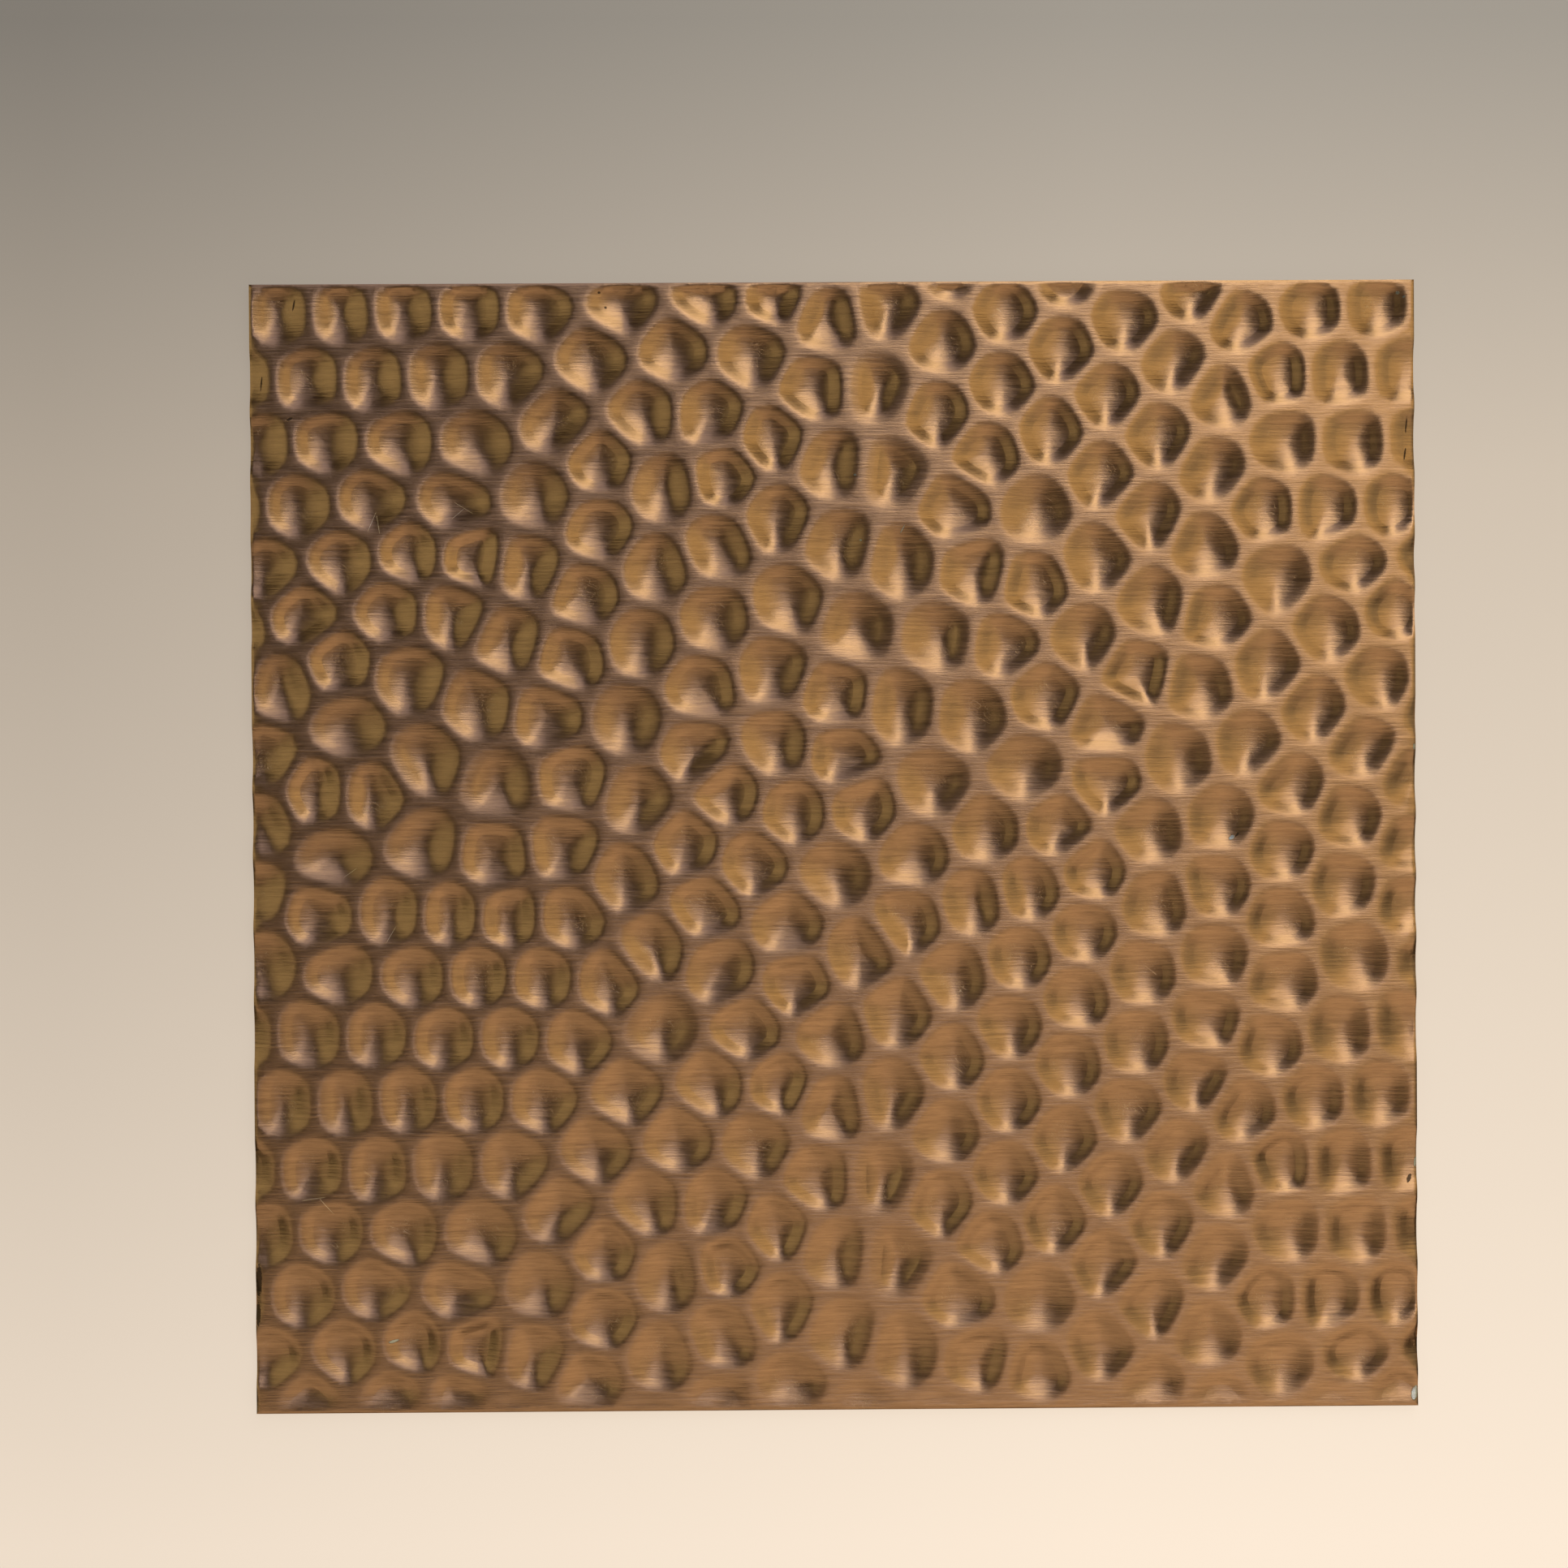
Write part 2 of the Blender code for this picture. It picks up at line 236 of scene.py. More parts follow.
def buildBlank():
    punches = spreadPunches()
    junctions, cells = ridgeNetwork(punches)
    mesh = bmesh.new()
    layers = {name: mesh.verts.layers.float.new(name)
              for name in ("wallShare", "pocketShare", "pocketSpan", "dimpleId")}
    corner = {}
    ridges = {}

    def addVert(point, wall=0.0, pocket=0.0, span=0.0, dimple=0.0):
        vert = mesh.verts.new((point[0] * mm, point[1] * mm, 0))
        for name, value in zip(layers, (wall, pocket, span * mm, dimple)):
            vert[layers[name]] = value
        return vert

    def ridgeVerts(a, b):
        # points along the ridge from junction a to junction b, b left out
        key = (min(a, b), max(a, b))
        if key not in ridges:
            start, end = junctions[key[0]], junctions[key[1]]
            count = max(1, round(np.linalg.norm(end - start) / pattern["spokePitch"]))
            for n in key:
                if n not in corner:
                    corner[n] = addVert(junctions[n])
            between = [addVert(start + (end - start) * n / count) for n in range(1, count)]
            ridges[key] = [corner[key[0]], *between, corner[key[1]]]
        line = ridges[key] if a < b else ridges[key][::-1]
        return line[:-1]

    samples = np.linspace(0, 1, pattern["spokeSamples"])
    soft = pattern["cornerSoftness"]
    for index, cell in cells.items():
        centre = punches[index]
        neighbours = punches[sorted(cell["neighbours"])]
        ring = sorted(cell["junctions"],
                      key=lambda n: math.atan2(*(junctions[n] - centre)[::-1]))
        border = [v for n, a in enumerate(ring) for v in ridgeVerts(a, ring[(n + 1) % len(ring)])]
        rim = np.array([v.co[:2] for v in border]) / mm
        towards = neighbours - centre
        pitch = np.linalg.norm(towards, axis=1, keepdims=True)
        towards = towards / pitch
        length = np.linalg.norm(rim - centre, axis=1)
        crease, span = creaseRadius((rim - centre) / length[:, None], towards, pitch[:, 0] / 2)
        # along each spoke from the ridge to the punch: how much of the wall lies behind
        spokes = rim[:, None, :] + (centre - rim)[:, None, :] * samples[None, :, None]
        gaps = pitch[:, 0] / 2 - (spokes - centre) @ towards.T
        gap = np.maximum(-soft * np.log(np.exp(-gaps / soft).sum(axis=-1)), 0)
        ahead = np.maximum(length[:, None] * (1 - samples) - crease[:, None], 0)
        behind = np.maximum.accumulate(gap / (gap + ahead + 1e-9), axis=1)
        levels = [(share, 0.0) for share in wallRings] + [(1.0, share) for share in pocketRings]
        outer = border
        for wallShare, pocketShare in levels:
            inner = []
            for n in range(len(border)):
                share = 1 - crease[n] * (1 - pocketShare) / length[n]
                if wallShare < 1:
                    share = np.interp(wallShare, behind[n], samples)
                inner.append(addVert(rim[n] + (centre - rim[n]) * share,
                                     wallShare, pocketShare, span, float(index)))
            for n in range(len(border)):
                m = (n + 1) % len(border)
                mesh.faces.new((outer[n], outer[m], inner[m], inner[n]))
            outer = inner
        middle = addVert(centre, 1.0, 1.0, span, float(index))
        for n in range(len(border)):
            mesh.faces.new((outer[n], outer[(n + 1) % len(border)], middle))
    return mesh, len(cells)


def trimBlank(mesh):
    # shears the blank to its outline, and scores the band that the shear rolls over
    half = {"x": sheet["width"] / 2 * mm, "y": sheet["length"] / 2 * mm}
    for axis, plane in (("x", (1, 0, 0)), ("y", (0, 1, 0))):
        for sign in (-1, 1):
            for inset in (0, sheet["arrisRun"] * sheet["arrisScore"], sheet["arrisRun"]):
                point = Vector(plane) * sign * (half[axis] - inset * mm)
                geometry = mesh.verts[:] + mesh.edges[:] + mesh.faces[:]
                bmesh.ops.bisect_plane(mesh, geom=geometry, dist=pattern["weldWithin"] * mm,
                                       plane_co=point, plane_no=Vector(plane) * sign,
                                       clear_outer=inset == 0)
    bmesh.ops.remove_doubles(mesh, verts=mesh.verts[:], dist=pattern["mergeWithin"] * mm)
    many = [face for face in mesh.faces if len(face.verts) > 4]
    bmesh.ops.triangulate(mesh, faces=many)
    for vert in mesh.verts:
        # what the merge drew off the outline goes back onto it
        for n, axis in enumerate(("x", "y")):
            if abs(abs(vert.co[n]) - half[axis]) < pattern["snapWithin"] * mm:
                vert.co[n] = math.copysign(half[axis], vert.co[n])


def markWornFaces(mesh):
    # the faces that carry a chip, a nick or a scratch get the finish that draws them
    layer = mesh.faces.layers.float.new("wornFace")
    spots = [spot for kind in wear.values() for spot in kind]
    for face in mesh.faces:
        for x, y, length, width, turn in spots:
            reach = (length / 2 + pattern["spokePitch"]) * mm
            if any((vert.co.x - x * mm) ** 2 + (vert.co.y - y * mm) ** 2 < reach ** 2
                   for vert in face.verts):
                face[layer] = 1.0


# ---- Geometry Nodes: the roll presses the relief and gives the sheet its thickness

def embossTree():
    tree = bpy.data.node_groups.new("embossBlank", "GeometryNodeTree")
    face = tree.interface
    face.new_socket("Blank", in_out="INPUT", socket_type="NodeSocketGeometry")
    for name in ("Sheet Width", "Sheet Length", "Gauge", "Emboss Depth", "Punch Crown",
                 "Crest Share", "Far Edge Fade", "Near Edge Fade", "Arris Run", "Arris Drop",
                 "Unevenness"):
        face.new_socket(name, in_out="INPUT", socket_type="NodeSocketFloat")
    face.new_socket("Seed", in_out="INPUT", socket_type="NodeSocketInt")
    for name in ("Front Finish", "Worn Finish", "Back Finish", "Edge Finish"):
        face.new_socket(name, in_out="INPUT", socket_type="NodeSocketMaterial")
    face.new_socket("Sheet", in_out="OUTPUT", socket_type="NodeSocketGeometry")
    given = addNode(tree, "NodeGroupInput").outputs

    def attribute(name):
        node = addNode(tree, "GeometryNodeInputNamedAttribute", {"Name": name}, data_type="FLOAT")
        return node.outputs["Attribute"]

    def stored(geometry, name, value, domain, selection=True, kind="FLOAT"):
        node = addNode(tree, "GeometryNodeStoreNamedAttribute",
                       {"Geometry": geometry, "Selection": selection, "Name": name, "Value": value},
                       data_type=kind, domain=domain)
        return node.outputs["Geometry"]

    place = addNode(tree, "ShaderNodeSeparateXYZ",
                    {0: addNode(tree, "GeometryNodeInputPosition").outputs[0]}).outputs
    halfWidth = maths(tree, "MULTIPLY", given["Sheet Width"], 0.5)
    halfLength = maths(tree, "MULTIPLY", given["Sheet Length"], 0.5)

    # the slope eases in over the crest share of the wall and runs straight from there down
    wall = attribute("wallShare")
    crest = given["Crest Share"]
    eased = maths(tree, "DIVIDE", maths(tree, "MINIMUM", wall, crest), crest)
    cubed = maths(tree, "POWER", eased, 3.0)
    rounded = maths(tree, "MULTIPLY", crest,
                    maths(tree, "SUBTRACT", cubed,
                          maths(tree, "MULTIPLY", maths(tree, "MULTIPLY", cubed, eased), 0.5)))
    straight = maths(tree, "MAXIMUM", maths(tree, "SUBTRACT", wall, crest), 0.0)
    fall = maths(tree, "DIVIDE", maths(tree, "ADD", rounded, straight),
                 maths(tree, "SUBTRACT", 1.0, maths(tree, "MULTIPLY", crest, 0.5)))
    # inside the crease the sheet lies on the crowned top of its punch
    left = maths(tree, "SUBTRACT", 1.0, attribute("pocketShare"))
    bowl = maths(tree, "SUBTRACT", 1.0, maths(tree, "MULTIPLY", left, left))
    span = attribute("pocketSpan")
    hollow = maths(tree, "DIVIDE", maths(tree, "MULTIPLY", span, span),
                   maths(tree, "MULTIPLY", given["Punch Crown"], 2.0))
    uneven = addNode(tree, "FunctionNodeRandomValue",
                     {"ID": attribute("dimpleId"), "Seed": given["Seed"]}, data_type="FLOAT")
    floatIn = [socket for socket in uneven.inputs if socket.type == "VALUE" and socket.enabled]
    tree.links.new(maths(tree, "SUBTRACT", 1.0, given["Unevenness"]), floatIn[0])
    floatIn[1].default_value = 1.0
    depth = maths(tree, "MULTIPLY", given["Emboss Depth"],
                  [socket for socket in uneven.outputs if socket.enabled][0])
    drop = maths(tree, "ADD", maths(tree, "MULTIPLY", fall, maths(tree, "SUBTRACT", depth, hollow)),
                 maths(tree, "MULTIPLY", bowl, hollow))

    # towards the top and bottom edges the relief dies out
    for gap, run in ((maths(tree, "SUBTRACT", halfLength, place["Y"]), given["Far Edge Fade"]),
                     (maths(tree, "ADD", halfLength, place["Y"]), given["Near Edge Fade"])):
        fade = addNode(tree, "ShaderNodeMapRange", {"Value": gap, "From Min": 0.0, "From Max": run},
                       interpolation_type="SMOOTHSTEP").outputs[0]
        drop = maths(tree, "MULTIPLY", drop, fade)
    crestLevel = maths(tree, "ADD", given["Gauge"], given["Emboss Depth"])
    height = maths(tree, "SUBTRACT", crestLevel, drop)
    pressed = addNode(tree, "GeometryNodeSetPosition",
                      {"Geometry": given["Blank"],
                       "Position": addNode(tree, "ShaderNodeCombineXYZ",
                                           {0: place["X"], 1: place["Y"], 2: height}).outputs[0]})
    front = stored(pressed.outputs[0], "frontPoint", 1.0, "POINT")

    # thickness: the pressed face goes down by the gauge, with its walls round the outline
    straightDown = addNode(tree, "FunctionNodeInputVector", vector=(0, 0, -1)).outputs[0]
    down = addNode(tree, "GeometryNodeExtrudeMesh",
                   {"Mesh": front, "Offset": straightDown, "Offset Scale": given["Gauge"],
                    "Individual": False}, mode="FACES")
    under = stored(down.outputs["Mesh"], "frontPoint", 0.0, "POINT", down.outputs["Top"])
    under = stored(under, "backFace", 1.0, "FACE", down.outputs["Top"])
    under = stored(under, "cutFace", 1.0, "FACE", down.outputs["Side"])
    turned = addNode(tree, "GeometryNodeFlipFaces", {"Mesh": under}).outputs[0]
    joined = addNode(tree, "GeometryNodeJoinGeometry")
    tree.links.new(front, joined.inputs[0])
    tree.links.new(turned, joined.inputs[0])
    closed = addNode(tree, "GeometryNodeMergeByDistance",
                     {"Geometry": joined.outputs[0],
                      "Distance": pattern["weldWithin"] * mm}).outputs[0]

    # the shear rolled the front arris over all round
    place = addNode(tree, "ShaderNodeSeparateXYZ",
                    {0: addNode(tree, "GeometryNodeInputPosition").outputs[0]}).outputs
    gap = maths(tree, "MINIMUM",
                maths(tree, "SUBTRACT", halfWidth, maths(tree, "ABSOLUTE", place["X"])),
                maths(tree, "SUBTRACT", halfLength, maths(tree, "ABSOLUTE", place["Y"])))
    rolled = maths(tree, "SUBTRACT", 1.0, maths(tree, "DIVIDE", gap, given["Arris Run"]),
                   clamp=True)
    rolled = maths(tree, "MULTIPLY", maths(tree, "MULTIPLY", rolled, rolled),
                   maths(tree, "MULTIPLY", given["Arris Drop"], attribute("frontPoint")))
    shift = addNode(tree, "ShaderNodeCombineXYZ", {2: maths(tree, "MULTIPLY", rolled, -1.0)})
    sheared = addNode(tree, "GeometryNodeSetPosition",
                      {"Geometry": closed, "Offset": shift.outputs[0]}).outputs[0]
    smooth = addNode(tree, "GeometryNodeSetShadeSmooth", {"Geometry": sheared}).outputs[0]
    whole = addNode(tree, "GeometryNodeRealizeInstances", {"Geometry": smooth}).outputs[0]
    for finish, mask in (("Front Finish", None), ("Worn Finish", "wornFace"),
                         ("Back Finish", "backFace"), ("Edge Finish", "cutFace")):
        chosen = True if mask is None else maths(tree, "GREATER_THAN", attribute(mask), 0.5)
        whole = addNode(tree, "GeometryNodeSetMaterial",
                        {"Geometry": whole, "Selection": chosen,
                         "Material": given[finish]}).outputs[0]
    addNode(tree, "NodeGroupOutput", {"Sheet": whole})
    return tree


def pressSheet(finishes):
    blank, count = buildBlank()
    trimBlank(blank)
    markWornFaces(blank)
    mesh = bpy.data.meshes.new("blank")
    blank.to_mesh(mesh)
    blank.free()
    holder = bpy.data.objects.new("blank", mesh)
    bpy.context.scene.collection.objects.link(holder)
    tree = embossTree()
    modifier = holder.modifiers.new("emboss", "NODES")
    modifier.node_group = tree
    values = {
        "Sheet Width": sheet["width"] * mm, "Sheet Length": sheet["length"] * mm,
        "Gauge": sheet["gauge"] * mm, "Emboss Depth": sheet["embossDepth"] * mm,
        "Punch Crown": sheet["punchCrown"] * mm, "Crest Share": sheet["crestShare"],
        "Far Edge Fade": sheet["farEdgeFade"] * mm, "Near Edge Fade": sheet["nearEdgeFade"] * mm,
        "Arris Run": sheet["arrisRun"] * mm, "Arris Drop": sheet["arrisDrop"] * mm,
        "Unevenness": sheet["unevenness"], "Seed": sheet["unevenSeed"], **finishes,
    }
    for item in tree.interface.items_tree:
        if item.in_out == "INPUT" and item.name in values:
            modifier[item.identifier] = values[item.name]
    evaluated = holder.evaluated_get(bpy.context.evaluated_depsgraph_get())
    made = bpy.data.meshes.new_from_object(evaluated)
    made.name = "embossedSheetSkin"
    bpy.data.objects.remove(holder)
    piece = bpy.data.objects.new("embossedSheetSkin", made)
    bpy.context.scene.collection.objects.link(piece)
    # the cut edges stay sharp, the relief smooth
    made.set_sharp_from_angle(angle=math.radians(sheet["sharpAngle"]))
    # U runs along the brushed lines, for the direction of the grain
    grain = made.uv_layers.new(name="brushedGrain").data
    corners = np.empty(len(made.loops), dtype=np.int32)
    made.loops.foreach_get("vertex_index", corners)
    points = np.empty(len(made.vertices) * 3)
    made.vertices.foreach_get("co", points)
    points = points.reshape(-1, 3)[corners]
    spread = np.stack([points[:, 0] / (sheet["width"] * mm) + 0.5,
                       points[:, 1] / (sheet["length"] * mm) + 0.5], axis=1)
    grain.foreach_set("uv", spread.ravel())
    print(count, "dimples pressed,", sum(len(p.vertices) - 2 for p in made.polygons), "triangles")
    return piece


# ---- finishes

steel = {
    "bronze": "AE8053",       # coating on the crests of the brushed lines
    "bronzeDeep": "946C46",   # the same, a shade deeper, between them
    "bareSteel": "A69C81",    # where the coating has chipped
    "rubbed": "DDBA86",       # where it is rubbed thin, in scuffs and scratches
    "grime": "33261B",        # what sits in nicks and in the stains down the left edge
    "linePitch": 0.30,        # mm between the brushed lines, real ones are too fine to show
    "lineLength": 4.5,        # mm, they come and go over a few millimetres
    "drawPitch": 0.5,         # mm between the longer, fainter lines that run on
    "drawLength": 26.0,
    "shortShare": 0.65,       # of the shorter lines, the longer ones have the rest
    "lineDepth": 0.050,       # mm
    "roughness": 0.320,       # with the anisotropy it spreads a highlight twice as far
    "anisotropic": 0.593,     # across the lines as along them, and the lines' depth adds to that
    "roughnessSpread": 0.03,  # from line to line
    "cloudSize": (34, 21),    # mm, broad patches of a deeper tone
    "cloudShare": 0.18,
}

# the marks that the punch left in some of the pockets, sizes in mm
scuff = {
    "hairCurl": (0.9, 1.3),   # how tightly the hair lines curl
    "hairDrift": (6, -4),     # how far the coarse noise turns them
    "driftSize": (5.0, 5.0),
    "hairWidth": 0.006,       # share of the noise's range that a hair line takes up
    "patchSize": (6.5, 6.5),
    "speckleSize": (0.28, 0.34),
    "speckleShare": 0.45,
    "rubbedShare": 0.4,
    "roughening": 0.12,
    "depth": 0.006,
}

# wear that the photo shows, in mm from the middle of the sheet: x, y, length, width, degrees
wear = {
    "chips": [(74.55, -71.1, 1.9, 0.75, 80), (-57.3, -63.5, 1.3, 0.35, 12),
              (74.85, -41.2, 1.3, 0.3, 84), (51.2, 0.9, 0.8, 0.5, 40),
              (74.8, 12.5, 0.8, 0.25, 90), (72.9, 71.0, 0.5, 0.4, 0),
              (73.7, 70.5, 0.4, 0.3, 30), (2.8, 47.9, 0.35, 0.3, 0), (3.5, 39.5, 0.3, 0.25, 0),
              (8.9, 40.9, 1.2, 0.14, 62)],
    "nicks": [(74.0, -43.3, 1.1, 0.45, 70), (-69.9, 55.4, 0.9, 0.35, 20),
              (51.9, 1.3, 0.7, 0.3, 50), (-74.6, -55.5, 4.2, 0.8, 88),
              (-74.7, -59.8, 3.0, 0.6, 90), (-73.5, 60.0, 1.8, 0.22, 84),
              (-69.3, 70.0, 1.5, 0.22, 78), (74.0, 54.0, 1.9, 0.22, 86),
              (73.8, 50.3, 1.6, 0.22, 80), (-30.0, 71.5, 0.35, 0.3, 0),
              (-29.2, 69.6, 0.3, 0.3, 0)],
    "scratches": [(-67.5, -45.0, 3.0, 0.10, 8), (-65.8, -46.0, 2.6, 0.09, -50),
                  (-59.4, 42.2, 2.6, 0.09, 68), (-58.6, 41.8, 2.3, 0.09, 100),
                  (-48.3, 43.2, 2.2, 0.09, 40), (-47.6, 43.9, 2.6, 0.08, -32),
                  (-62.5, -3.0, 2.0, 0.09, 35), (-57.3, -11.0, 2.4, 0.09, 60)],
}

# mm that a mark stands up from the sheet
wearHeight = {"chips": 0.05, "nicks": -0.03, "scratches": -0.01}


def newMaterial(name):
    material = bpy.data.materials.new(name)
    material.use_nodes = True
    tree = material.node_tree
    tree.nodes.clear()
    shader = addNode(tree, "ShaderNodeBsdfPrincipled")
    addNode(tree, "ShaderNodeOutputMaterial", {"Surface": shader.outputs[0]})
    return material, tree, shader


def blend(tree, share, first, second):
    # colour between two, by a share from 0 to 1
    node = addNode(tree, "ShaderNodeMix", {"Factor": share, 6: first, 7: second},
                   data_type="RGBA")
    return node.outputs[2]


def ramp(tree, value, low, high, outLow=0.0, outHigh=1.0):
    return addNode(tree, "ShaderNodeMapRange",
                   {"Value": value, "From Min": low, "From Max": high,
                    "To Min": outLow, "To Max": outHigh}).outputs[0]


def noise(tree, place, sizes, detail=2.0, offset=0.0, roughness=0.6):
    # noise whose lumps are this many millimetres long in x and y, and in z where that is given;
    # each one has its own offset, so that no two have the same lumps
    scale = [1 / (size * mm) for size in sizes] + [0.0] * (3 - len(sizes))
    lie = addNode(tree, "ShaderNodeVectorMath",
                  {0: place, 1: scale, 2: (offset, -offset, offset)}, operation="MULTIPLY_ADD")
    return addNode(tree, "ShaderNodeTexNoise",
                   {"Vector": lie.outputs[0], "Scale": 1.0, "Detail": detail,
                    "Roughness": roughness}, noise_dimensions=f"{len(sizes)}D").outputs["Fac"]


def marks(tree, place, ragged, spots):
    # mask of the listed marks, each a ragged oval, 1 inside
    nearest = 99.0  # further than any mark reaches
    for x, y, length, width, turn in spots:
        c, s = math.cos(math.radians(turn)), math.sin(math.radians(turn))
        shares = []
        for along, across, size in ((c, s, length), (-s, c, width)):
            half = size / 2 * mm
            share = addNode(tree, "ShaderNodeVectorMath",
                            {0: place, 1: (along / half, across / half, 0)},
                            operation="DOT_PRODUCT").outputs["Value"]
            shares.append(maths(tree, "SUBTRACT", share, (x * along + y * across) * mm / half))
        reach = maths(tree, "MULTIPLY_ADD", shares[0], shares[0],
                      maths(tree, "MULTIPLY", shares[1], shares[1]))
        nearest = maths(tree, "MINIMUM", nearest, reach)
    return ramp(tree, maths(tree, "ADD", nearest, ragged), 1.2, 0.8)


def bronzeHairlineSteel(name, worn):
    # stainless steel, hairline brushed and then vapour coated in a bronze tone: a satin metal
    # whose highlights run across the lines, with the lines themselves just visible
    material, tree, shader = newMaterial(name)
    place = addNode(tree, "ShaderNodeTexCoord").outputs["Object"]
    # flat, so that the lines don't shear with the height of the relief
    flat = addNode(tree, "ShaderNodeVectorMath", {0: place, 1: (1, 1, 0)},
                   operation="MULTIPLY").outputs[0]
    short = noise(tree, flat, (steel["lineLength"], steel["linePitch"]), 3.0, 3.1, 0.7)
    long = noise(tree, flat, (steel["drawLength"], steel["drawPitch"]), 3.0, 8.7)
    lines = maths(tree, "ADD", maths(tree, "MULTIPLY", short, steel["shortShare"]),
                  maths(tree, "MULTIPLY", long, 1 - steel["shortShare"]))
    cloud = noise(tree, flat, steel["cloudSize"], 2.0, 1.9)

    # the coating looks paler on the crests of the lines, and a little deeper in broad clouds
    tone = blend(tree, ramp(tree, lines, 0.36, 0.64), hexColour(steel["bronzeDeep"]),
                 hexColour(steel["bronze"]))
    tone = blend(tree, ramp(tree, cloud, 0.35, 0.7, 0.0, steel["cloudShare"]), tone,
                 hexColour(steel["bronzeDeep"]))

    # scuffs that the punch left in the pockets: short, curled and turned by a coarse noise,
    # in some of the pockets only
    inPocket = addNode(tree, "ShaderNodeAttribute", attribute_name="pocketShare").outputs["Fac"]
    drift = noise(tree, flat, scuff["driftSize"], 1.0, 5.3)
    driftX, driftY = (maths(tree, "MULTIPLY", drift, run * mm) for run in scuff["hairDrift"])
    aside = addNode(tree, "ShaderNodeCombineXYZ", {0: driftX, 1: driftY}).outputs[0]
    warp = addNode(tree, "ShaderNodeVectorMath", {0: flat, 1: aside}, operation="ADD").outputs[0]
    curl = noise(tree, warp, scuff["hairCurl"], 1.5, 4.4)
    hair = ramp(tree, maths(tree, "ABSOLUTE", maths(tree, "SUBTRACT", curl, 0.5)),
                scuff["hairWidth"], 0.0)
    patchy = ramp(tree, noise(tree, flat, scuff["patchSize"], 1.0, 2.2), 0.53, 0.62)
    speckle = ramp(tree, noise(tree, flat, scuff["speckleSize"], 2.0, 6.1), 0.62, 0.76,
                   0.0, scuff["speckleShare"])
    scuffs = maths(tree, "MULTIPLY", maths(tree, "MAXIMUM", hair, speckle),
                   maths(tree, "MULTIPLY", patchy, ramp(tree, inPocket, 0.02, 0.25)))

    tone = blend(tree, maths(tree, "MULTIPLY", scuffs, scuff["rubbedShare"]), tone,
                 hexColour(steel["rubbed"]))
    rough = ramp(tree, lines, 0.35, 0.65, steel["roughness"] - steel["roughnessSpread"],
                 steel["roughness"] + steel["roughnessSpread"])
    rough = maths(tree, "MULTIPLY_ADD", scuffs, scuff["roughening"], rough)
    height = maths(tree, "SUBTRACT", maths(tree, "MULTIPLY", lines, steel["lineDepth"] * mm),
                   maths(tree, "MULTIPLY", scuffs, scuff["depth"] * mm))
    if worn:
        ragged = maths(tree, "MULTIPLY_ADD", noise(tree, flat, (0.35, 0.3), 3.0, 7.7), 1.6, -0.8)
        chips = marks(tree, flat, ragged, wear["chips"])
        nicks = marks(tree, flat, ragged, wear["nicks"])
        scratches = marks(tree, flat, 0.0, wear["scratches"])
        tone = blend(tree, maths(tree, "MULTIPLY", scratches, 0.8), tone,
                     hexColour(steel["rubbed"]))
        tone = blend(tree, maths(tree, "MULTIPLY", nicks, 0.85), tone, hexColour(steel["grime"]))
        tone = blend(tree, chips, tone, hexColour(steel["bareSteel"]))
        rough = maths(tree, "MULTIPLY_ADD", nicks, 0.12, rough)
        for kind, mask in (("chips", chips), ("nicks", nicks), ("scratches", scratches)):
            height = maths(tree, "MULTIPLY_ADD", mask, wearHeight[kind] * mm, height)
    tree.links.new(tone, shader.inputs["Base Color"])
    tree.links.new(rough, shader.inputs["Roughness"])
    bump = addNode(tree, "ShaderNodeBump", {"Height": height, "Strength": 1.0, "Distance": 1.0})
    tree.links.new(bump.outputs[0], shader.inputs["Normal"])
    shader.inputs["Metallic"].default_value = 1.0
    shader.inputs["Anisotropic"].default_value = steel["anisotropic"]
    shader.inputs["Anisotropic Rotation"].default_value = 0.25
    tangent = addNode(tree, "ShaderNodeTangent", direction_type="UV_MAP", uv_map="brushedGrain")
    tree.links.new(tangent.outputs[0], shader.inputs["Tangent"])
    return material


mill = {
    "bronze": "977552",
    "bronzeDeep": "86684A",
    "grainPitch": 0.35,     # mm, of the rolling grain up the sheet
    "grainLength": 18,
    "grainDepth": 0.008,
    "roughness": (0.36, 0.48),
    "touching": 0.12,       # mm, what lies lower than this is rubbed by what it lies on
    "rubbedSize": 1.1,
    "rubbedShare": 0.5,
}


def bronzeMillSteel():
    # the reverse: the same coating over unbrushed cold rolled steel, duller, with the faint
    # rolling grain up the sheet and rubbed spots where the pockets touch what they lie on
    material, tree, shader = newMaterial("bronzeMillSteel")
    place = addNode(tree, "ShaderNodeTexCoord").outputs["Object"]
    grain = noise(tree, place, (mill["grainPitch"], mill["grainLength"], 30), 3.0, 2.7)
    cloud = noise(tree, place, (26, 40, 30), 2.0, 4.1)
    tone = blend(tree, ramp(tree, cloud, 0.35, 0.65), hexColour(mill["bronzeDeep"]),
                 hexColour(mill["bronze"]))
    height = addNode(tree, "ShaderNodeSeparateXYZ", {0: place}).outputs["Z"]
    spots = noise(tree, place, (mill["rubbedSize"], mill["rubbedSize"], 30), 3.0, 9.2)
    rubbed = maths(tree, "MULTIPLY", ramp(tree, height, mill["touching"] * mm, 0.0),
                   ramp(tree, spots, 0.48, 0.6))
    tone = blend(tree, maths(tree, "MULTIPLY", rubbed, mill["rubbedShare"]), tone,
                 hexColour(steel["bareSteel"]))
    tree.links.new(tone, shader.inputs["Base Color"])
    tree.links.new(ramp(tree, grain, 0.3, 0.7, *mill["roughness"]), shader.inputs["Roughness"])
    bump = addNode(tree, "ShaderNodeBump",
                   {"Height": grain, "Strength": 1.0, "Distance": mill["grainDepth"] * mm})
    tree.links.new(bump.outputs[0], shader.inputs["Normal"])
    shader.inputs["Metallic"].default_value = 1.0
    return material


